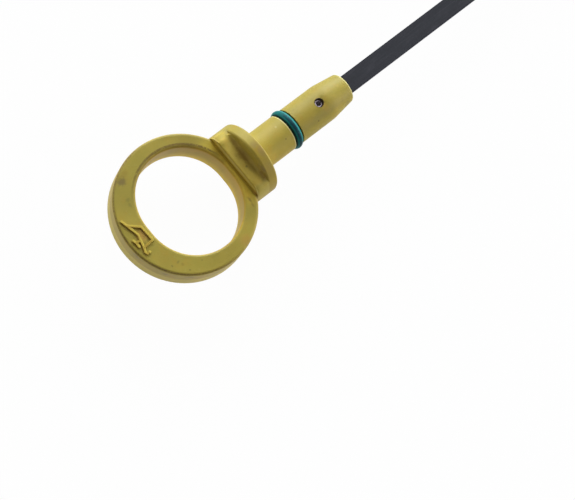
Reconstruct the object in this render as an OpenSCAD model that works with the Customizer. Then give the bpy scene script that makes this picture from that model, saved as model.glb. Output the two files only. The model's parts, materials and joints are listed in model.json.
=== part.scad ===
// Engine oil dipstick with a moulded ring handle, a sealing ring and a flat steel blade.
// The stick's axis runs from the ring to the blade's tip, and every place along it is
// measured from the seat, the flange face that stops against the mouth of the oil tube.
// The dipstick is drawn as it lies: on the flange's rim and the blade's tip, ring flat.

/* [Finger ring] */
// Outer diameter of the ring
ring_d = 40; // [36:0.5:46]
// Thickness of the ring across its flat faces
ring_t = 8.4; // [7:0.2:10]
// Length of the finger hole along the stick
hole_l = 28.2; // [26:0.2:29.4]
// Width of the finger hole across the stick
hole_w = 30.6; // [29.6:0.2:31.6]
// How far the finger hole sits off the ring's centre, towards the seat
hole_shift = 1.5; // [0.8:0.1:2.2]
// Radius of the ring's rounded edges
ring_edge = 0.8; // [0.6:0.1:1.6]
// Distance from the seat back to the ring's centre
ring_to_seat = 24.8; // [24:0.2:34]

/* [Stop flange] */
// Diameter of the stop flange and of the hub behind it
flange_d = 21.8; // [18:0.2:26]
// Thickness of the stop flange
flange_t = 3.3; // [2.4:0.1:4.5]
// Radius of the flange's rounded rims
flange_edge = 0.6; // [0.3:0.1:1]
// Height of the hub across its two flats
hub_t = 13.4; // [12:0.2:15]
// Gap between the hole's wall and the face where the hub steps up from the ring
hub_setback = 1.7; // [1:0.1:2.2]
// How far the step under the ring leans back towards the flange
under_setback = 1; // [0.6:0.1:1.6]
// Width of the broken corners beside the hub's flats
hub_edge = 1.2; // [0.4:0.1:1.6]
// Radius of the rounded edge along the top of the hub's step
step_edge = 0.4; // [0.2:0.1:0.8]
// Radius of the fillets where the hub's flats meet the flange
root_fillet = 1.1; // [0.5:0.1:1.5]

/* [Plug] */
// Diameter of the plug that fills the mouth of the tube
plug_d = 11; // [9.6:0.1:13]
// Length of the plug, from the seat to its end face
plug_len = 34.8; // [33:0.2:42]
// Length of the taper that leads the plug into the tube
taper_len = 7.6; // [5:0.2:8]
// Diameter of the plug's end face
plug_end_d = 9.1; // [8.4:0.1:9.5]
// Radius of the rounded edge at the plug's end
plug_edge = 0.5; // [0.2:0.1:0.9]

/* [Sealing ring] */
// Distance from the seat to the middle of the sealing ring
oring_at = 13.4; // [10:0.2:17]
// Thickness of the sealing ring's cord
oring_cord = 2.5; // [2:0.1:3]
// How far the sealing ring stands out of the plug
oring_proud = 0.6; // [0.3:0.05:0.9]
// Spare width of the groove on each side of the cord
groove_side_gap = 0.3; // [0.1:0.05:0.4]

/* [Retaining pin] */
// Distance from the pin's axis to the plug's end face
pin_from_end = 11; // [10.5:0.1:13]
// Outer diameter of the rolled pin
pin_d = 2.5; // [2:0.1:3]
// Wall of the rolled pin
pin_wall = 0.5; // [0.3:0.05:0.7]
// Width of the slit along the rolled pin
pin_slit = 0.45; // [0.3:0.05:0.7]
// How deep each end of the pin lies below the plug's skin
pin_recess = 0.9; // [0.4:0.1:1.5]

/* [Blade] */
// Width of the blade
blade_w = 5.6; // [5:0.1:7]
// Thickness of the blade
blade_t = 1; // [0.8:0.05:1.3]
// Distance from the seat to the blade's tip
tip_at = 330; // [240:5:520]
// How far the blade's root reaches past the pin's axis into the plug
root_past_pin = 4.6; // [3.5:0.1:5.5]
// Width of the blade's blunt tip
tip_w = 4; // [3:0.1:4.6]
// Length over which the blade narrows to its tip
tip_len = 7; // [5:0.5:10]
// Radius of the tip's two corners
tip_edge = 0.9; // [0.5:0.1:1.2]

/* [Level marks] */
// Distance from the tip to the hole that marks the lowest level
low_mark = 14; // [12:0.5:20]
// Distance between the two marks
mark_span = 18; // [14:0.5:26]
// Diameter of the two mark holes
mark_d = 1.8; // [1.2:0.1:2.4]
// Pitch of the crossed grooves between the marks
hatch_pitch = 1.8; // [1.4:0.1:3]
// Width of one groove
hatch_w = 0.4; // [0.3:0.05:0.6]
// Depth of one groove
hatch_deep = 0.12; // [0.08:0.02:0.2]

/* [Oil can symbol] */
// Width of the raised lines
line_w = 0.65; // [0.4:0.05:0.8]
// Height of the raised lines above the ring's face
line_h = 0.45; // [0.2:0.05:0.6]
// Bare margin between the symbol and the ring's two edges
symbol_margin = 1.4; // [1.2:0.05:1.7]
// How far the symbol then sits nearer the finger hole
symbol_inward = 0.35; // [0:0.05:0.5]
// How far the symbol sits off the stick's line, away from its spout
symbol_aside = 0.3; // [0:0.1:1]

/* [Hidden] */
$fn = 96;

// Clearance between the pieces that are pressed or fitted together
fit_gap = 0.05;
// Overlap that carries one solid safely into the next, or a cut past a face
over = 1;

ring_x = -ring_to_seat;
hole_x = ring_x + hole_shift;
hole_r = hole_l / 2;
// How far each of the hole's two half circles lies from the stick's line
hole_side = (hole_w - hole_l) / 2;
flange_r = flange_d / 2;
plug_r = plug_d / 2;

// The hub starts just behind the hole's wall and ends inside the flange
hub_x = hole_x + hole_r + hub_setback;
hub_len = -flange_t - hub_x;

oring_r = plug_r + oring_proud - oring_cord / 2;
groove_r = oring_r - oring_cord / 2 - fit_gap;
groove_w = oring_cord + 2 * groove_side_gap;

// The pin's axis, and the blade's root, which lies past it inside the plug
pin_at = plug_len - pin_from_end;
root_x = pin_at - root_past_pin;

pin_len = plug_d - 2 * pin_recess;
pin_chamfer = pin_wall / 2;

// The flange's rim and the blade's tip touch the same level surface
rest_slope = atan((flange_r - blade_t / 2) / (tip_at + flange_edge));

low_x = tip_at - low_mark;
full_x = low_x - mark_span;
hatch_margin = mark_d;

// The symbol fills the ring's band at its widest place, opposite the plug
band_w = ring_d / 2 + hole_shift - hole_r;
symbol_scale = (band_w - 2 * symbol_margin) / 4.6;
symbol_x = hole_x - hole_r - symbol_margin + symbol_inward;

// Corners of the oil can as [towards the spout, up from its base]
can_base_back = [-2, 0.2];
can_base_front = [2.5, 0.45];
can_top_back = [-2.3, 3.5];
can_top_front = [1.4, 2.5];
spout_root = [5, 3.3];
spout_tip = [6.8, 3.8];
cap_foot = [-0.2, 2.9];
cap_mid = [-0.1, 4.4];
cap_front = [0.8, 4.6];
cap_back = [-1.4, 4.4];
grip_top = [-3.5, 4];
grip_bend = [-4.1, 3.8];
grip_end = [-4.1, 3];
SYMBOL_LINES = [
    [can_base_back, can_base_front], [can_base_front, spout_root],
    [can_top_front, spout_tip], [can_top_front, can_top_back],
    [can_top_back, can_base_back], [cap_foot, cap_mid],
    [cap_front, cap_mid], [cap_mid, cap_back],
    [can_top_back, grip_top], [grip_top, grip_bend], [grip_bend, grip_end]
];
SYMBOL_KNOTS = [
    can_base_back, can_base_front, can_top_back, can_top_front, spout_tip,
    cap_mid, cap_front, cap_back, grip_top, grip_bend, grip_end
];
// The round knots at the corners and ends are a little wider than the lines they join
knot_d = 1.06 * line_w;

// Lays a piece down from the level stick to the way it rests
module as_it_lies() {
    rotate([0, rest_slope, 0]) children();
}

// Turns a solid of revolution from the upright axis onto the stick's axis
module along_stick(x = 0) {
    translate([x, 0, 0]) rotate([0, 90, 0]) children();
}

// Half section of a disc with rounded rims, centred on its thickness
module disc_section(r, t, edge) {
    translate([0, -t / 2]) square([r - edge, t]);
    translate([0, edge - t / 2]) square([r, t - 2 * edge]);
    for (side = [-1, 1])
        translate([r - edge, side * (t / 2 - edge)]) circle(edge);
}

// Half section of a hole's cutter that rounds both rims of the hole
module flared_hole_section(r, t, edge) {
    difference() {
        translate([0, -t / 2 - over]) square([r + edge, t + 2 * over]);
        wall_section(r, t, edge);
    }
}

// Section of the wall that a hole leaves standing, with both rims rounded
module wall_section(r, t, edge) {
    translate([r, edge - t / 2]) square([2 * edge, t - 2 * edge]);
    for (side = [-1, 1])
        translate([r + edge, side * (t / 2 - edge)]) circle(edge);
}

// The finger hole is two half circles with a short straight stretch between them
module finger_hole() {
    for (turn = [0, 180]) rotate([0, 0, turn]) translate([0, hole_side, 0])
        rotate_extrude(angle = 180) flared_hole_section(hole_r, ring_t, ring_edge);
    rotate([90, 0, 0]) linear_extrude(2 * hole_side, center = true) difference() {
        square([2 * (hole_r + ring_edge), ring_t + 2 * over], center = true);
        for (side = [0, 1]) mirror([side, 0]) wall_section(hole_r, ring_t, ring_edge);
    }
}

// Square minus a quarter circle: the section of a fillet in the corner at the origin
module fillet_section(r) {
    difference() {
        translate([-over, -over]) square(r + over);
        translate([r, r]) circle(r);
    }
}

module finger_ring() {
    translate([ring_x, 0, 0]) difference() {
        rotate_extrude() disc_section(ring_d / 2, ring_t, ring_edge);
        translate([hole_shift, 0, 0]) finger_hole();
    }
}

// Section of the hub: a circle cut by two flats, with the four corners broken. The chamfer
// lies half-way between the flat and the circle's slope where they would meet.
module hub_section() {
    flat = hub_t / 2;
    flat_half = sqrt(pow(flange_r, 2) - pow(flat, 2)) - hub_edge;
    chamfer_slope = acos(flat / flange_r) / 2;
    reach = flange_r + over;
    low = flat - (reach - flat_half) * tan(chamfer_slope);
    intersection() {
        circle(flange_r);
        polygon([
            [flat, -flat_half], [flat, flat_half], [low, reach], [-low, reach],
            [-flat, flat_half], [-flat, -flat_half], [-low, -reach], [low, -reach]
        ]);
    }
}

// The hub's side view. The step is square above, with a rounded edge, and leans back below,
// where it must not show through the finger hole.
module hub_side_view() {
    flat = hub_t / 2;
    end_x = hub_x + hub_len + over;
    corner_x = hub_x + step_edge;
    polygon([
        [end_x, -flat], [end_x, flat], [corner_x, flat], [hub_x, flat - step_edge],
        [hub_x, 0], [hub_x + under_setback, -flat]
    ]);
    translate([corner_x, flat - step_edge]) circle(step_edge);
}

module hub() {
    intersection() {
        along_stick(hub_x) linear_extrude(hub_len + over) hub_section();
        rotate([90, 0, 0]) linear_extrude(flange_d + 2 * over, center = true) hub_side_view();
    }
}

// Fillets where the hub's two flats run up into the flange
module root_fillets() {
    intersection() {
        along_stick(hub_x - root_fillet)
            cylinder(r = flange_r - flange_edge, h = hub_len + root_fillet + over);
        rotate([90, 0, 0]) linear_extrude(flange_d, center = true)
            for (side = [0, 1]) mirror([0, side]) {
                translate([-flange_t, hub_t / 2]) mirror([1, 0]) fillet_section(root_fillet);
            }
    }
}

module stop_flange() {
    along_stick(-flange_t / 2) rotate_extrude() disc_section(flange_r, flange_t, flange_edge);
}

// Half section of the plug, from the flange to its rounded end, with the seal's groove
module plug_section() {
    end_r = plug_end_d / 2;
    taper_at = plug_len - taper_len;
    difference() {
        union() {
            translate([0, -over]) square([plug_r, taper_at + over]);
            polygon([
                [0, taper_at], [plug_r, taper_at], [end_r, plug_len - plug_edge],
                [end_r - plug_edge, plug_len], [0, plug_len]
            ]);
            translate([end_r - plug_edge, plug_len - plug_edge]) circle(plug_edge);
        }
        translate([groove_r, oring_at - groove_w / 2]) square([plug_r, groove_w]);
    }
}

// Slot in the plug's end that takes the root of the blade
module blade_slot() {
    slot_x = root_x - fit_gap;
    translate([slot_x, -blade_w / 2 - fit_gap, -blade_t / 2 - fit_gap])
        cube([plug_len - slot_x + over, blade_w + 2 * fit_gap, blade_t + 2 * fit_gap]);
}

module pin_hole() {
    translate([pin_at, 0, 0]) cylinder(d = pin_d + 2 * fit_gap, h = plug_d + 2 * over, center = true);
}

// The oil can stands with its base along the hole and its spout to the left of the stick
module oil_can_symbol() {
    translate([symbol_x, -symbol_aside, ring_t / 2 - ring_edge]) rotate([0, 0, 90])
        linear_extrude(ring_edge + line_h) {
            for (line = SYMBOL_LINES) {
                from = line[0] * symbol_scale;
                run = line[1] * symbol_scale - from;
                translate(from) rotate(atan2(run[1], run[0]))
                    translate([0, -line_w / 2]) square([norm(run), line_w]);
            }
            for (knot = SYMBOL_KNOTS) translate(knot * symbol_scale) circle(d = knot_d);
        }
}

module handle() {
    color("darkkhaki") as_it_lies() difference() {
        union() {
            finger_ring();
            hub();
            root_fillets();
            stop_flange();
            along_stick() rotate_extrude() plug_section();
            oil_can_symbol();
        }
        blade_slot();
        pin_hole();
    }
}

module sealing_ring() {
    color("teal") as_it_lies()
        along_stick(oring_at) rotate_extrude() translate([oring_r, 0]) circle(d = oring_cord);
}

// Half section of the rolled pin's wall, chamfered at both ends
module pin_section() {
    outer = pin_d / 2;
    inner = outer - pin_wall;
    half = pin_len / 2;
    polygon([
        [inner, -half], [outer - pin_chamfer, -half], [outer, pin_chamfer - half],
        [outer, half - pin_chamfer], [outer - pin_chamfer, half], [inner, half]
    ]);
}

module retaining_pin() {
    color("silver") as_it_lies() translate([pin_at, 0, 0]) difference() {
        rotate_extrude() pin_section();
        translate([0, -pin_slit / 2, -plug_d / 2]) cube([pin_d, pin_slit, plug_d]);
    }
}

// Outline of the blade: a straight strip that narrows to a blunt tip
module blade_outline() {
    half = blade_w / 2;
    tip_half = tip_w / 2;
    polygon([
        [root_x, -half], [tip_at - tip_len, -half], [tip_at - tip_edge, -tip_half],
        [tip_at, tip_edge - tip_half], [tip_at, tip_half - tip_edge],
        [tip_at - tip_edge, tip_half], [tip_at - tip_len, half], [root_x, half]
    ]);
    for (side = [-1, 1])
        translate([tip_at - tip_edge, side * (tip_half - tip_edge)]) circle(tip_edge);
}

// Crossed grooves pressed into the blade's upper face between the marks
module hatch_grooves() {
    zone_x = full_x + hatch_margin;
    zone_len = mark_span - 2 * hatch_margin;
    reach = zone_len / 2 + blade_w;
    step = hatch_pitch * sqrt(2);
    lines = floor(reach / step);
    translate([zone_x, -blade_w, blade_t / 2 - hatch_deep]) intersection() {
        cube([zone_len, 2 * blade_w, over]);
        translate([zone_len / 2, blade_w, 0])
            for (turn = [-45, 45], i = [-lines:lines])
                translate([i * step, 0, 0]) rotate([0, 0, turn])
                    translate([-hatch_w / 2, -2 * blade_w, 0]) cube([hatch_w, 4 * blade_w, over]);
    }
}

module blade() {
    color("dimgray") as_it_lies() difference() {
        linear_extrude(blade_t, center = true) difference() {
            blade_outline();
            translate([pin_at, 0]) circle(d = pin_d + 2 * fit_gap);
            for (x = [low_x, full_x]) translate([x, 0]) circle(d = mark_d);
        }
        hatch_grooves();
    }
}

handle();
sealing_ring();
retaining_pin();
blade();
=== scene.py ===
import json
from math import asin, cos, degrees, prod, radians, sin

import bpy
from mathutils import Matrix, Vector


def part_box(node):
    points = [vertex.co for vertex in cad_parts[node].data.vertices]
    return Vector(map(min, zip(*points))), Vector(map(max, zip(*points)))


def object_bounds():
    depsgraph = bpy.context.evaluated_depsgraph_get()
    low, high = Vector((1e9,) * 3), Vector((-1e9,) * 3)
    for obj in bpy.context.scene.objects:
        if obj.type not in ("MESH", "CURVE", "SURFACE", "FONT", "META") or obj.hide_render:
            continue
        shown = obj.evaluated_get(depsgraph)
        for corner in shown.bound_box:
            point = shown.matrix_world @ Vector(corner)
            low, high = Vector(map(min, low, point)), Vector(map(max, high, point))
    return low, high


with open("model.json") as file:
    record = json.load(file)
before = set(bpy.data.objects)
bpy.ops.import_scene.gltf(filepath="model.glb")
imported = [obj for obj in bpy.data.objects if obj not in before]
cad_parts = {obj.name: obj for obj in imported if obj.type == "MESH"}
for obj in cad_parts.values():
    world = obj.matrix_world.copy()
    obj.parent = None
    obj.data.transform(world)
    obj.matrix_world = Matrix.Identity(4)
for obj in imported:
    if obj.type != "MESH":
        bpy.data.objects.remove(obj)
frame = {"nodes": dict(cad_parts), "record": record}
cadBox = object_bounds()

# An engine oil dipstick on a pale table: moulded yellow ring and plug, teal sealing ring,
# rolled steel pin and blackened blade. The CAD nodes keep their shapes and get their finishes here.

mm = 0.001  # the frame is in metres, the finishes are worked out in millimetres
seatMount = next(mount for mount in frame["record"]["mounts"] if mount["name"] == "tube_seat")
restSlope = -asin(seatMount["axis"][2])  # how far the stick dips from the ring to the blade's tip
print("frame loaded, the stick dips by", round(degrees(restSlope), 2), "degrees")


class Wire:  # one output socket, so that shader maths reads as plain expressions
    def __init__(self, nodes, socket):
        self.nodes = nodes
        self.socket = socket

    def maths(self, operation, *values):
        return self.nodes.add("ShaderNodeMath", {"operation": operation}, dict(enumerate(values)))

    def __add__(self, other):
        return self.maths("ADD", self, other)

    def __radd__(self, other):
        return self.maths("ADD", other, self)

    def __sub__(self, other):
        return self.maths("SUBTRACT", self, other)

    def __rsub__(self, other):
        return self.maths("SUBTRACT", other, self)

    def __mul__(self, other):
        return self.maths("MULTIPLY", self, other)

    def __rmul__(self, other):
        return self.maths("MULTIPLY", other, self)

    def __truediv__(self, other):
        return self.maths("DIVIDE", self, other)

    def __rtruediv__(self, other):
        return self.maths("DIVIDE", other, self)

    def __pow__(self, other):
        return self.maths("POWER", self, other)

    def __rpow__(self, other):
        return self.maths("POWER", other, self)

    def absolute(self):
        return self.maths("ABSOLUTE", self)

    def atMost(self, other):
        return self.maths("MINIMUM", self, other)

    def atLeast(self, other):
        return self.maths("MAXIMUM", self, other)

    def part(self, axis):  # one number of a vector
        return self.nodes.add("ShaderNodeSeparateXYZ", {}, {0: self}, axis)

    def beside(self, name):  # another output of the same node
        return Wire(self.nodes, self.socket.node.outputs[name])


class Nodes:  # one node tree, where every node comes from add
    def __init__(self, tree):
        self.tree = tree
        tree.nodes.clear()

    def add(self, kind, settings, inputs, out=0):
        node = self.tree.nodes.new(kind)
        for name, value in settings.items():
            setattr(node, name, value)
        for name, value in inputs.items():
            if isinstance(value, Wire):
                self.tree.links.new(value.socket, node.inputs[name])
            else:
                node.inputs[name].default_value = value
        return Wire(self, node.outputs[out]) if node.outputs else None


class Finish(Nodes):  # one material, worked out in the stick's own coordinates in millimetres
    def __init__(self, name, look, base):
        self.look = look
        self.material = bpy.data.materials.new(name)
        self.material.use_nodes = True
        self.material.diffuse_color = (*look[base], 1)
        super().__init__(self.material.node_tree)
        self.point = self.add("ShaderNodeMapping", {"vector_type": "POINT"}, {
            "Vector": self.add("ShaderNodeTexCoord", {}, {}, "Object"),
            "Rotation": (0, -restSlope, 0), "Scale": (1 / mm, 1 / mm, 1 / mm)})
        self.x, self.y, self.z = (self.point.part(axis) for axis in "XYZ")
        self.side = self.y.absolute()
        self.measures = {"x": self.x, "y": self.y, "z": self.z, "side": self.side}
        for noise, settings in look["noises"].items():
            self.measures[noise] = self.noise(*settings)

    def surface(self, sockets):  # the shader, made last from its values and links
        shader = self.add("ShaderNodeBsdfPrincipled", {}, sockets)
        self.add("ShaderNodeOutputMaterial", {}, {"Surface": shader})

    def fade(self, value, start, end):  # 0 at start, 1 at end, smooth between
        return self.add("ShaderNodeMapRange", {"interpolation_type": "SMOOTHSTEP"},
                        {"Value": value, "From Min": start, "From Max": end})

    def zone(self, steps):  # 1 where every step is full
        masks = []
        for measure, *places in steps:
            value = self.measures[measure]
            masks.append(self.fade(value, *places[:2]))
            if len(places) == 4:
                masks.append(self.fade(value, places[3], places[2]))
        return prod(masks[1:], start=masks[0])

    def lay(self, mask, colour, tone):  # a tone by its name, or a factor for red, green and blue
        mode = "MIX" if isinstance(tone, str) else "MULTIPLY"
        under = colour if isinstance(colour, Wire) else (*colour, 1)
        over = self.look[tone] if mode == "MIX" else tone
        return self.add("ShaderNodeMix", {"data_type": "RGBA", "blend_type": mode},
                        {0: mask, 6: under, 7: (*over, 1)}, 2)

    def mark(self, colour, marks):
        for steps, tone, strength in marks:
            colour = self.lay(self.zone(steps) * strength, colour, tone)
        return colour

    def daub(self, colour, blots, noise, height):
        wobble = self.wobble(noise, height)
        for middle, reach, tone, strength in blots:
            colour = self.lay(self.blot(middle, reach, wobble) * strength, colour, tone)
        return colour

    def vectors(self, operation, *values, out=0):
        settings = {"operation": operation}
        return self.add("ShaderNodeVectorMath", settings, dict(enumerate(values)), out)

    def noise(self, size, detail, rough, twist, shift):
        sizes = size if isinstance(size, tuple) else (size, size, size)
        scaled = self.vectors("DIVIDE", self.point, sizes)
        return self.add("ShaderNodeTexNoise", {}, {
            "Vector": self.vectors("ADD", scaled, (shift, shift, shift)), "Scale": 1.0,
            "Detail": detail, "Roughness": rough, "Distortion": twist})

    def wobble(self, noise, height):  # one of the noises, about 0
        return (self.measures[noise] - 0.5) * height

    def fromFleck(self, gap):  # distance from the nearest fleck, with flecks about a gap apart
        inputs = {"Vector": self.vectors("DIVIDE", self.point, (gap, gap, gap)), "Scale": 1.0}
        return self.add("ShaderNodeTexVoronoi", {}, inputs, "Distance") * gap

    def blot(self, middle, reach, wobble):  # an oval, 1 at its middle and 0 past its reach
        offset = self.vectors("DIVIDE", self.vectors("SUBTRACT", self.point, middle), reach)
        return self.fade(self.vectors("LENGTH", offset, out="Value") + wobble, 1.0, 0.25)

    def stroke(self, start, end):  # distance from a line between two points seen from above
        runX, runY = end[0] - start[0], end[1] - start[1]
        length = (runX ** 2 + runY ** 2) ** 0.5
        acrossX, acrossY = self.x - start[0], self.y - start[1]
        along = ((acrossX * runX + acrossY * runY) / length).atLeast(0).atMost(length)
        offX, offY = acrossX - along * (runX / length), acrossY - along * (runY / length)
        return (offX ** 2 + offY ** 2) ** 0.5

    def away(self, x, spread=0.0):  # distance from an upright line, or from a slot across the stick
        return ((self.x - x) ** 2 + (self.side - spread).atLeast(0) ** 2) ** 0.5

    def hidden(self, reach):  # 1 deep in a corner of the piece itself, 0 in the open
        return 1 - self.add("ShaderNodeAmbientOcclusion", {"samples": 8, "only_local": True},
                            {"Distance": reach * mm}, "AO")

    def facing(self, axis):
        return self.add("ShaderNodeNewGeometry", {}, {}, "Normal").part(axis)

    def roughness(self, noise):
        return self.look["rough"] + self.wobble(noise, self.look["roughSpread"])

    def bump(self, noise, depth, under=None):
        inputs = {"Height": self.measures[noise], "Distance": depth * mm, "Strength": 1.0}
        if under:
            inputs["Normal"] = under
        return self.add("ShaderNodeBump", {}, inputs)

    def softEdge(self, radius):
        return self.add("ShaderNodeBevel", {"samples": 6}, {"Radius": radius * mm})

    def mixNormals(self, mask, first, second):
        return self.add("ShaderNodeMix", {"data_type": "VECTOR"}, {0: mask, 4: first, 5: second}, 1)


def halfWidth(node):
    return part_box(node)[1][1] / mm


def alongStick(node):  # how far past the seat the middle of a CAD node lies
    low, high = (Vector(corner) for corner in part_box(node))
    middle = (low + high) / 2
    return (middle.x * cos(restSlope) - middle.z * sin(restSlope)) / mm


def putOn(node, finish):  # puts a finish on a CAD node, whose mesh stays as it is
    piece = frame["nodes"][node]
    piece.data.materials.clear()
    piece.data.materials.append(finish.material)
    print("finished", node)


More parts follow.
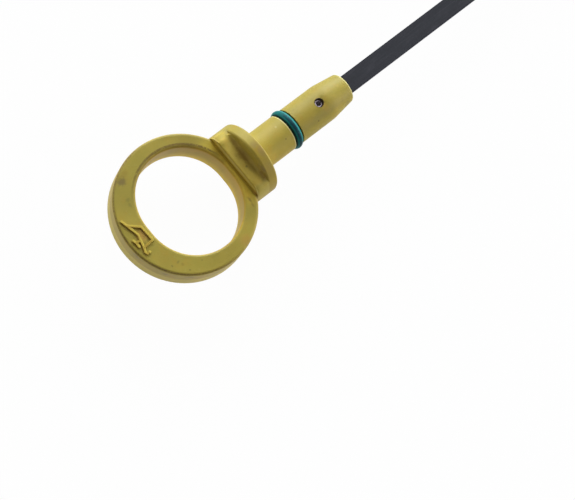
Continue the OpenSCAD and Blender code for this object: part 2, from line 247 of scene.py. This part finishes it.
# Handle: ring, hub, flange and plug in one moulding. Places are in the stick's frame, in mm.
# A noise is its size, detail, roughness, twist and shift.
# A mark is its steps, a tone or a factor for red, green and blue, and a strength.
# A step says what it goes by, and fades in between two places and out between two more, if given.
# A blot is its middle, its reach along x, y and z, a tone or factors, and a strength.
handle = {
    "ringX": -24.8, "holeX": -23.3, "holeR": 14.1, "holeSide": 1.2, "stepX": -7.5,
    "farWay": (0.743, 0.669),  # from the ring's centre towards -X and -Y, away from the key lamp
    "rough": 0.5, "roughSpread": 0.12, "roughInCorners": 0.2, "specular": 0.3,
    "grainDepth": 0.009, "cornerReach": 1.6, "fleckGap": 4.2,
    "nylon": (0.382, 0.292, 0.042),
    "olive": (0.332, 0.264, 0.035),
    "ochre": (0.40, 0.262, 0.030),
    # pale tone, and the colour of the painted highlight on the step's face
    "paleAndHighlight": (0.46, 0.40, 0.13),
    # dirt, and the colour of painted shade in corners and along rims
    "grimeAndShade": (0.11, 0.065, 0.009),
    "moss": (0.13, 0.105, 0.020),
    # umber stains, and the colour of painted shade at the step's foot, in the valley and beside the
    # symbol's ridges
    "umberAndShade": (0.17, 0.095, 0.006),
    "edgeHighlight": (0.70, 0.64, 0.30),
    "soilAndShade": (0.038, 0.024, 0.010),
    "soot": (0.13, 0.102, 0.036),
    "plum": (0.21, 0.145, 0.075),
    "rust": (0.42, 0.21, 0.045),
    "amber": (0.42, 0.25, 0.03),
    "noises": {
        "cloud": (7.0, 3.0, 0.55, 0.6, 0.0),
        "mottle": (2.6, 3.0, 0.6, 0.3, 2.2),
        "fine": (0.9, 4.0, 0.65, 0.0, 3.1),
        "grit": (0.45, 3.0, 0.6, 0.0, 6.4),
        "grain": (0.28, 2.0, 0.5, 0.0, 0.0),
        "hubEdges": (0.9, 3.0, 0.6, 0.0, 5.0),
        "symbolEdges": (0.8, 2.0, 0.6, 0.0, 9.0),
        "blotEdges": (0.7, 3.0, 0.6, 0.0, 1.0),
    },
    "faceWobble": 0.8, "blotWobble": 0.9, "symbolWobble": 0.25,
    "baseMarks": [
        ([("cloud", 0.35, 0.7)], "olive", 1.0),
        ([("mottle", 0.5, 0.75)], "ochre", 0.5),
        ([("fine", 0.55, 0.8)], "paleAndHighlight", 0.3),
        ([("grit", 0.56, 0.72)], "umberAndShade", 0.2),
    ],

    # the ring's upward faces get painted shade, but for the strip between the hole and the hub,
    # which gets painted light
    "face": [("up", 0.85, 0.98), ("pastStep", 0.05, -0.05)],
    "strip": [("x", -15.0, -9.5), ("side", 12.5, 7.5), ("pastStep", 0.05, -0.05)],
    "upFaceShade": (0.86, 0.88, 0.84),
    "stripPaintedLight": [
        ([("x", -15.0, -9.5), ("side", 12.5, 7.5), ("pastStep", 0.05, -0.05),
          ("pastHole", -0.2, 0.6)], (1.52, 1.44, 1.02), 1.0),
    ],
    "faceBlots": [
        ((-36.8, 12.0, 4.2), (6.5, 8.0, 2.0), (0.84, 0.86, 0.84), 1.0),
        ((-26.0, -17.0, 4.2), (7.5, 4.5, 2.0), (0.88, 0.88, 0.82), 1.0),
        ((-39.0, -9.0, 4.2), (4.0, 4.5, 2.0), (0.94, 0.92, 0.88), 1.0),
        ((-17.0, -15.0, 4.2), (4.0, 4.0, 2.0), (1.05, 1.06, 1.0), 1.0),
        ((-13.5, 13.5, 4.2), (4.0, 4.0, 2.0), (0.86, 0.85, 0.8), 1.0),
    ],
    "wallMarks": [
        # the hole's wall, lightened with painted bounce light from the table, most at the bottom,
        # and darker and browner with painted shade under its upper rim
        ([("pastHole", 0.5, 0.1)], (1.25, 1.2, 1.0), 1.0),
        ([("pastHole", 0.5, 0.1), ("z", 0.5, -3.8)], (1.55, 1.55, 1.5), 1.0),
        ([("pastHole", 0.5, 0.1), ("z", -1.5, 3.4)], (0.97, 0.87, 0.68), 1.0),
        # the outer wall, lightened with painted light in two tones split at the mould's parting
        # line, most on its lower far side from the key lamp
        ([("pastRing", -0.25, -0.05), ("pastStep", 0.05, -0.05), ("z", -0.15, 0.15)],
         (1.14, 1.1, 1.25), 1.0),
        ([("pastRing", -0.25, -0.05), ("pastStep", 0.05, -0.05), ("z", 0.15, -0.15),
          ("farSide", -2.0, 5.0)], (1.52, 1.54, 1.95), 1.0),
        ([("pastRing", -0.25, -0.05), ("pastStep", 0.05, -0.05), ("z", 0.15, -0.15),
          ("farSide", 5.0, -2.0)], (1.2, 1.2, 1.35), 1.0),
        # a dark line of painted shade along the hole's rim, broken up by grit
        ([("pastHole", 0.45, 0.75, 1.05, 1.35), ("up", 0.5, 0.8), ("y", 4.0, 8.0),
          ("x", -38.0, -28.0), ("grit", 0.2, 0.55)], "grimeAndShade", 0.85),
    ],

    # thin broken lines of painted shade on the rounded edges of the upper face, on the rims facing
    # away from the key lamp
    "rounding": [("up", 0.41, 0.55, 0.86, 1.0), ("z", 3.4, 3.5, 4.2, 4.3)],
    "outerRim": [("pastRing", -0.9, -0.7), ("x", -20.8, -28.8)],
    "innerRim": [("pastHole", 0.9, 0.7), ("keySide", -24.0, -14.0)],
    "rimCloud": [("cloud", 0.3, 0.7)],
    "rimGrit": [("grit", 0.4, 0.6)],
    "rimShares": {"inner": 0.5, "plain": 0.35, "cloud": 0.25, "grit": 0.4, "all": 0.9},

    "plugMarks": [
        # painted light beside the flange and below, painted shade past the seal and painted light
        # again below there
        ([("x", -5.8, 0.2, 1.0, 7.0), ("x", -0.2, 0.1)], (1.19, 1.2, 1.18), 1.0),
        ([("y", -1.5, -4.5), ("x", 0.0, 0.3, 10.0, 16.0)], (1.22, 1.17, 1.0), 1.0),
        ([("x", 14.0, 16.0, 24.0, 30.0), ("y", 4.4, 1.5)], (0.88, 0.87, 0.78), 1.0),
        ([("x", 27.0, 34.0)], (1.02, 1.04, 1.0), 1.0),
        ([("x", 14.0, 16.0), ("y", -3.2, -4.8)], (1.25, 1.25, 1.15), 1.0),
        ([("x", 24.0, 30.0), ("y", 0.5, 3.0)], (0.92, 0.94, 0.98), 1.0),
        # painted highlights on the edges at the plug's end and at the groove
        ([("x", 34.2, 34.35, 34.9, 35.05), ("ahead", 0.95, 0.8)], "edgeHighlight", 0.55),
        ([("x", 11.45, 11.6, 11.9, 12.05), ("ahead", 0.95, 0.8)], "edgeHighlight", 0.55),
        # painted shade and dirt on the rim and wall of the pin's hole
        ([("fromPin", 1.5, 1.32), ("z", 3.0, 4.0)], "soilAndShade", 0.9),
    ],

    # corners get painted shade and dirt where occlusion is deep, and a few flecks of dirt lie in
    # the open
    "corner": [("hidden", 0.3, 0.8)],
    "cornerMarks": [
        ([("hidden", 0.3, 0.8)], "grimeAndShade", 0.45),
        ([("fromFleck", 0.3, 0.09), ("cloud", 0.45, 0.6)], "grimeAndShade", 0.4),
    ],

    "hubMarks": [
        # painted shade and dirt at the foot of the step, a painted highlight on its face and its
        # dark top edge
        ([("pastStep", -0.85, -0.55, 0.1, 0.4), ("z", 3.55, 3.9, 4.35, 4.7)], "umberAndShade", 0.52),
        ([("pastStep", -0.1, -0.05, 0.12, 0.17), ("z", 4.9, 5.2, 5.8, 6.1)], "paleAndHighlight", 0.6),
        ([("pastStep", -0.1, -0.05, 0.12, 0.17), ("z", 6.05, 6.2, 6.45, 6.6)], "grimeAndShade", 0.4),
        # painted light on the flat, painted shadow and dirt in the valley before the flange, and
        # painted shade at the flange's rim
        ([("pastStep", -0.7, 0.1, 2.5, 3.3), ("z", 6.2, 6.6)], (1.24, 1.2, 1.22), 1.0),
        ([("x", -5.8, -4.5, -3.5, -2.2), ("y", -9.8, -3.8, 2.2, 8.2), ("z", 5.5, 6.5, 7.2, 8.2)],
         "umberAndShade", 0.4),
        ([("x", -3.4, -3.0, -0.7, -0.3), ("y", 4.0, -1.5)], (0.82, 0.76, 0.5), 1.0),
        # both ends of the hub
        ([("y", -7.5, -9.5), ("z", 0.0, 2.0), ("pastStep", 0.0, 1.0)], (1.18, 1.18, 1.15), 1.0),
        ([("y", 6.2, 7.8), ("z", 3.9, 4.4), ("x", -8.5, -7.5, -4.5, -3.0)],
         (1.3, 1.28, 1.2), 1.0),
    ],
    "hubBlots": [
        ((-5.6, 1.6, 6.7), (1.1, 1.6, 0.9), "umberAndShade", 0.3),
        ((-9.1, 4.6, 4.2), (1.7, 4.2, 1.0), "umberAndShade", 0.3),
        ((-4.35, 0.9, 6.8), (1.3, 3.4, 1.5), "umberAndShade", 0.7),
        ((-4.8, -3.0, 6.7), (1.2, 2.8, 1.2), "moss", 0.3),
        ((-5.55, -2.1, 6.7), (0.5, 0.5, 0.6), "moss", 0.7),
        ((-3.7, -6.9, 7.1), (0.9, 2.7, 1.3), "umberAndShade", 0.7),
        ((-4.1, 5.6, 6.9), (0.9, 2.6, 1.2), "umberAndShade", 0.5),
        ((-1.6, 1.0, 10.8), (1.6, 1.4, 1.5), "plum", 0.3),
        ((-1.0, -1.6, 10.8), (1.5, 2.6, 1.5), "plum", 0.35),
        ((-3.3, -5.2, 8.6), (0.7, 2.4, 1.4), "plum", 0.5),
        ((-7.5, 8.3, 5.4), (0.8, 0.9, 0.9), "rust", 0.25),
        ((-7.6, -9.0, 4.6), (0.8, 1.2, 1.0), "rust", 0.4),
    ],
    "ringAndPlugBlots": [
        ((-32.9, 16.4, 4.2), (1.5, 1.3, 0.8), "umberAndShade", 0.3),
        ((-35.1, 15.0, 4.2), (1.8, 1.5, 0.8), "soot", 0.75),
        ((-34.9, 15.3, 4.2), (2.3, 2.0, 0.8), "umberAndShade", 0.25),
        ((-36.9, 10.1, 4.2), (0.8, 0.8, 0.6), "moss", 0.35),
        ((-37.4, 8.6, 4.2), (0.6, 1.2, 0.6), "moss", 0.35),
        ((-37.1, -11.1, 4.2), (0.8, 0.5, 0.6), "moss", 0.5),
        ((-36.5, -12.3, 4.2), (0.6, 0.7, 0.6), "grimeAndShade", 0.3),
        ((-39.1, -11.0, 4.2), (0.4, 0.5, 0.6), "moss", 0.6),
        ((-35.9, -14.7, 4.2), (0.4, 0.4, 0.6), "moss", 0.6),
        ((-31.5, -14.6, 4.2), (0.4, 0.4, 0.6), "moss", 0.4),
        ((-10.0, -9.6, 4.2), (0.5, 1.3, 0.6), "grimeAndShade", 0.6),
        ((-10.3, -11.2, 4.2), (0.5, 0.8, 0.6), "grimeAndShade", 0.45),
        ((-18.3, -17.5, 4.2), (2.6, 2.2, 1.4), "rust", 0.35),
        ((-44.5, -3.1, 2.8), (1.2, 2.0, 1.0), "plum", 0.5),
        ((-41.2, -11.5, 1.8), (1.2, 1.6, 0.9), "plum", 0.5),
        ((-36.7, -16.1, 2.4), (2.4, 2.4, 1.2), "plum", 0.35),
        ((-34.2, -17.6, 1.6), (2.0, 2.0, 1.2), "rust", 0.3),
        ((24.6, -1.9, 5.2), (1.6, 1.6, 1.4), "amber", 0.4),
        ((24.9, -3.2, 4.5), (1.4, 1.2, 1.2), "amber", 0.2),
        ((20.8, -3.8, 4.0), (0.35, 0.35, 0.5), "grimeAndShade", 0.7),
        ((9.3, -2.4, 4.9), (0.4, 0.4, 0.5), "grimeAndShade", 0.6),
        ((9.1, 1.9, 5.2), (0.5, 0.5, 0.5), "paleAndHighlight", 0.7),
        ((32.3, -4.5, 1.7), (1.6, 1.2, 2.0), "moss", 0.35),
    ],

    # the oil can's ridges, each point as [towards the spout, up from its base]
    "symbolX": -38.45, "symbolY": -0.3,
    "symbolLines": [
        [(-2, 0.2), (2.5, 0.45), (5, 3.3)], [(6.8, 3.8), (1.4, 2.5), (-2.3, 3.5), (-2, 0.2)],
        [(-0.2, 2.9), (-0.1, 4.4)], [(0.8, 4.6), (-0.1, 4.4), (-1.4, 4.4)],
        [(-2.3, 3.5), (-3.5, 4), (-4.1, 3.8), (-4.1, 3)],
    ],
    "flankX": -0.5, "flankY": -0.05,  # the painted shadow lies this far from each ridge
    "symbolMarks": [
        # painted shadow beside each ridge
        ([("fromFlank", 0.48, 0.15), ("z", 3.6, 4.1)], "umberAndShade", 0.6),
        # painted highlights on the ridge tops
        ([("z", 4.24, 4.45), ("x", -36.0, -37.0)], (1.62, 1.6, 1.65), 1.0),
    ],
    "symbolBlots": [((-40.1, 0.4, 4.2), (1.7, 2.6, 1.0), "rust", 0.5)],

    # the plug's shoulder and the hub's corners run over softly, as moulded ones do
    "softRadius": 2.2,
    "shoulder": [("x", 24.5, 26.0, 28.5, 30.0)],
    "hubCorner": [("x", -7.3, -7.0, -4.2, -3.9), ("side", 5.4, 6.4)],
}


def fromFlank(fin):  # distance from the lower flank of the symbol's nearest ridge
    nearest = None
    for line in handle["symbolLines"]:
        points = [(handle["symbolX"] - up + handle["flankX"],
                   handle["symbolY"] + along + handle["flankY"]) for along, up in line]
        for start, end in zip(points, points[1:]):
            distance = fin.stroke(start, end)
            nearest = distance if nearest is None else nearest.atMost(distance)
    return nearest


def measureHandle(fin):  # what the handle's steps go by, besides its noises
    fin.measures.update({
        "up": fin.facing("Z"), "ahead": fin.facing("X"),
        "pastStep": fin.x - handle["stepX"],
        "pastRing": fin.away(handle["ringX"]) - halfWidth("handle"),
        "pastHole": fin.away(handle["holeX"], handle["holeSide"]) - handle["holeR"],
        "keySide": fin.x + fin.y,  # grows towards the key lamp
        "farSide": (handle["ringX"] - fin.x) * handle["farWay"][0] - fin.y * handle["farWay"][1],
        "fromPin": fin.away(alongStick("retaining_pin")),
        "fromFleck": fin.fromFleck(handle["fleckGap"]),
        "fromFlank": fromFlank(fin) + fin.wobble("symbolEdges", handle["symbolWobble"]),
        "hidden": fin.hidden(handle["cornerReach"]),
    })


def ringLightShadeAndDirt(fin, colour):  # painted light and shade, tone and dirt on the ring's faces, walls and rims
    # painted shade on the upward faces, but for the strip
    worn = fin.zone(handle["face"]) * (1 - fin.zone(handle["strip"]))
    colour = fin.lay(worn, colour, handle["upFaceShade"])
    # painted light on the strip between the hole and the hub
    colour = fin.mark(colour, handle["stripPaintedLight"])
    colour = fin.daub(colour, handle["faceBlots"], "cloud", handle["faceWobble"])
    # painted light on the walls and painted shade along the hole's rim
    colour = fin.mark(colour, handle["wallMarks"])
    # broken lines of painted shade on the rims
    shares = handle["rimShares"]
    rims = fin.zone(handle["outerRim"]).atLeast(fin.zone(handle["innerRim"]) * shares["inner"])
    cloud = fin.zone(handle["rimCloud"]) * shares["cloud"]
    grit = fin.zone(handle["rimGrit"]) * shares["grit"]
    broken = fin.zone(handle["rounding"]) * rims * (shares["plain"] + cloud + grit)
    return fin.lay(broken * shares["all"], colour, "grimeAndShade")


def yellowNylon():
    fin = Finish("yellowNylon", handle, "nylon")
    measureHandle(fin)
    colour = fin.mark(handle["nylon"], handle["baseMarks"])
    colour = ringLightShadeAndDirt(fin, colour)
    # painted light, shade and highlights on the plug and hub, painted shade and dirt in corners,
    # and flecks
    colour = fin.mark(colour, handle["plugMarks"] + handle["cornerMarks"] + handle["hubMarks"])
    colour = fin.daub(colour, handle["hubBlots"], "hubEdges", handle["blotWobble"])
    # painted shadow and highlights on the symbol's ridges
    colour = fin.mark(colour, handle["symbolMarks"])
    colour = fin.daub(colour, handle["symbolBlots"], "symbolEdges", handle["symbolWobble"])
    colour = fin.daub(colour, handle["ringAndPlugBlots"], "blotEdges", handle["blotWobble"])

    soft = fin.zone(handle["shoulder"]).atLeast(fin.zone(handle["hubCorner"]))
    crispNormal = fin.bump("grain", handle["grainDepth"])
    softNormal = fin.bump("grain", handle["grainDepth"], fin.softEdge(handle["softRadius"]))
    fin.surface({
        "Base Color": colour,
        "Roughness": fin.roughness("fine") + fin.zone(handle["corner"]) * handle["roughInCorners"],
        "Normal": fin.mixNormals(soft, crispNormal, softNormal),
        "Specular IOR Level": handle["specular"]})
    return fin


# Sealing ring: teal rubber, with a painted dark reflection on its crest, painted shade on its ring
# side and a painted line of shine
seal = {
    "teal": (0.006, 0.148, 0.148), "navy": (0.009, 0.030, 0.045),
    "shade": (0.004, 0.016, 0.013), "gleam": (0.07, 0.36, 0.36),
    "rough": 0.4, "roughSpread": 0.2, "specular": 0.08, "grainDepth": 0.01,
    "noises": {"film": (1.6, 3.0, 0.55, 0.0, 0.0), "grain": (0.35, 2.0, 0.5, 0.0, 0.0)},
    "crest": [("pastSeal", -0.75, -0.45, 0.2, 0.5), ("y", 5.2, 1.5), ("z", -1.0, 2.0)],
    "crestFilm": [("film", 0.35, 0.6)],
    "crestShares": {"plain": 0.7, "film": 0.3, "all": 0.9},
    "marks": [
        ([("pastSeal", -0.8, -1.05), ("z", -1.0, 2.0)], "shade", 0.85),
        ([("pastSeal", 0.32, 0.46, 0.68, 0.82), ("z", -1.0, 2.0)], "gleam", 0.45),
    ],
}


def sealRubber():
    fin = Finish("sealRubber", seal, "teal")
    fin.measures["pastSeal"] = fin.x - alongStick("sealing_ring")
    shares = seal["crestShares"]
    film = fin.zone(seal["crestFilm"]) * shares["film"]
    # the crest's navy is a painted dark reflection, broken up by the film noise
    crest = fin.zone(seal["crest"]) * (shares["plain"] + film) * shares["all"]
    colour = fin.lay(crest, seal["teal"], "navy")
    fin.surface({
        "Base Color": fin.mark(colour, seal["marks"]),
        "Roughness": fin.roughness("film"),
        "Normal": fin.bump("grain", seal["grainDepth"]),
        "Specular IOR Level": seal["specular"]})
    return fin


# Retaining pin: dull steel, stained, with a dark rim of painted shade
pin = {
    "steel": (0.46, 0.40, 0.48), "dirtAndShade": (0.05, 0.035, 0.035),
    "metallic": 0.9, "rough": 0.4, "roughSpread": 0.3, "stainDepth": 0.01,
    "noises": {"stain": (0.5, 3.0, 0.6, 0.0, 0.0)},
    # stains, and painted shade at the rim where the pin meets its hole
    "marks": [([("stain", 0.4, 0.7)], "dirtAndShade", 0.6), ([("fromPin", 0.85, 1.05)], "dirtAndShade", 0.85)],
}


def pinSteel():
    fin = Finish("pinSteel", pin, "steel")
    fin.measures["fromPin"] = fin.away(alongStick("retaining_pin"))
    fin.surface({
        "Base Color": fin.mark(pin["steel"], pin["marks"]),
        "Roughness": fin.roughness("stain"),
        "Normal": fin.bump("stain", pin["stainDepth"]),
        "Metallic": pin["metallic"]})
    return fin


# Blade: blackened spring steel with faint streaks along it and darker edges
blade = {
    "steel": (0.018, 0.019, 0.024), "worn": (0.048, 0.046, 0.058),
    "metallic": 0.5, "rough": 0.5, "roughSpread": 0.25, "specular": 0.2,
    "edge": 0.12, "streakDepth": 0.004,
    "noises": {"streak": ((14.0, 0.22, 0.22), 3.0, 0.6, 0.0, 0.0),
               "stain": ((6.0, 2.0, 2.0), 3.0, 0.6, 0.0, 7.7)},
    "marks": [
        ([("streak", 0.5, 0.75)], "worn", 0.35),
        ([("stain", 0.5, 0.75)], "worn", 0.2),
        ([("toEdge", 0.4, 0.05)], (0.5, 0.45, 0.7), 1.0),
    ],
}


def darkSteel():
    fin = Finish("darkSteel", blade, "steel")
    fin.measures["toEdge"] = halfWidth("blade") - fin.side
    fin.surface({
        "Base Color": fin.mark(blade["steel"], blade["marks"]),
        "Roughness": fin.roughness("stain"),
        "Normal": fin.bump("streak", blade["streakDepth"], fin.softEdge(blade["edge"])),
        "Metallic": blade["metallic"], "Specular IOR Level": blade["specular"]})
    return fin


putOn("handle", yellowNylon())
putOn("sealing_ring", sealRubber())
putOn("retaining_pin", pinSteel())
putOn("blade", darkSteel())

# Table, sky and lamps. Directions are angles in the frame: azimuth from +X towards +Y, in degrees.
# The light comes from low all round, most of it from the ring's upper side.
studio = {"tableSize": 6.0, "tableColour": (0.8, 0.8, 0.8), "tableWhite": 0.97, "tableGlow": 0.24,
          "skyGlow": 0.0, "skyWhite": 1.0, "lampSpread": 35}
lamps = {
    "keyLamp": {"azimuth": 45, "elevation": 18, "power": 2.7, "tone": (0.95, 1.04, 1.04)},
    "keyTop": {"azimuth": 45, "elevation": 45, "power": 0.78},
    "bladeSide": {"azimuth": 0, "elevation": 18, "power": 1.28},
    "lowerSide": {"azimuth": 315, "elevation": 18, "power": 1.23},
    "upperSide": {"azimuth": 90, "elevation": 18, "power": 1.1},
    "ringSide": {"azimuth": 135, "elevation": 18, "power": 0.53},
    "frontTop": {"azimuth": 225, "elevation": 45, "power": 0.44},
}


def direction(azimuth, elevation):
    a, e = radians(azimuth), radians(elevation)
    return Vector((cos(e) * cos(a), cos(e) * sin(a), sin(e)))


def brightWhereSeen(nodes, low, high):  # high for camera, glossy and transmission rays, else low
    camera = nodes.add("ShaderNodeLightPath", {}, {}, "Is Camera Ray")
    seen = camera.atLeast(camera.beside("Is Glossy Ray"))
    seen = seen.atLeast(camera.beside("Is Transmission Ray"))
    return nodes.add("ShaderNodeMapRange", {}, {"Value": seen, "To Min": low, "To Max": high})


def layTable():
    half = studio["tableSize"] / 2
    level = cadBox[0][2]  # the part's lowest point
    corners = [(x * half, y * half, level) for x, y in ((-1, -1), (1, -1), (1, 1), (-1, 1))]
    mesh = bpy.data.meshes.new("table")
    mesh.from_pydata(corners, [], [(0, 1, 2, 3)])
    material = bpy.data.materials.new("paleTable")
    material.use_nodes = True
    nodes = Nodes(material.node_tree)
    share = brightWhereSeen(nodes, studio["tableGlow"], studio["tableWhite"])
    paper = nodes.add("ShaderNodeBsdfDiffuse", {}, {"Color": (*studio["tableColour"], 1)})
    shine = nodes.add("ShaderNodeEmission", {}, {})
    mix = nodes.add("ShaderNodeMixShader", {}, {0: share, 1: paper, 2: shine})
    nodes.add("ShaderNodeOutputMaterial", {}, {"Surface": mix})
    mesh.materials.append(material)
    floor = bpy.data.objects.new("table", mesh)
    bpy.context.scene.collection.objects.link(floor)


def hangSky():
    world = bpy.data.worlds.new("studio")
    world.use_nodes = True
    nodes = Nodes(world.node_tree)
    strength = brightWhereSeen(nodes, studio["skyGlow"], studio["skyWhite"])
    sky = nodes.add("ShaderNodeBackground", {}, {"Color": (1, 1, 1, 1), "Strength": strength})
    nodes.add("ShaderNodeOutputWorld", {}, {"Surface": sky})
    bpy.context.scene.world = world


def hangLamps():
    for name, lamp in lamps.items():
        data = bpy.data.lights.new(name, "SUN")
        data.angle = radians(studio["lampSpread"])
        data.energy = lamp["power"]
        data.color = lamp.get("tone", (1, 1, 1))
        holder = bpy.data.objects.new(name, data)
        outward = direction(lamp["azimuth"], lamp["elevation"])
        holder.rotation_euler = outward.to_track_quat("Z", "Y").to_euler()
        bpy.context.scene.collection.objects.link(holder)


layTable()
hangSky()
hangLamps()
print("studio set")

# Camera, from the fit of the ring, flange, plug and blade in the 575 pixel wide frame
view = {"target": (-9.06, -26.23, 0.0), "azimuth": 189.89, "elevation": 69.58, "roll": 41.18,
        "distance": 542.6, "focalPixels": 2000, "widthPixels": 575, "sensor": 36.0,
        "near": 0.01, "far": 50}


def setCamera():
    data = bpy.data.cameras.new("photoCamera")
    data.sensor_width = view["sensor"]
    data.lens = view["sensor"] * view["focalPixels"] / view["widthPixels"]
    data.clip_start = view["near"]
    data.clip_end = view["far"]
    outward = direction(view["azimuth"], view["elevation"])
    levelRight = Vector((0, 0, 1)).cross(outward).normalized()
    levelUp = outward.cross(levelRight)
    turn = radians(view["roll"])
    right = levelRight * cos(turn) + levelUp * sin(turn)
    up = levelUp * cos(turn) - levelRight * sin(turn)
    place = (Vector(view["target"]) + outward * view["distance"]) * mm
    camera = bpy.data.objects.new("photoCamera", data)
    camera.matrix_world = (Matrix.Translation(place)
                           @ Matrix((right, up, outward)).transposed().to_4x4())
    bpy.context.scene.collection.objects.link(camera)
    bpy.context.scene.camera = camera


setCamera()
bpy.context.scene.view_settings.view_transform = "Standard"
print("camera set")
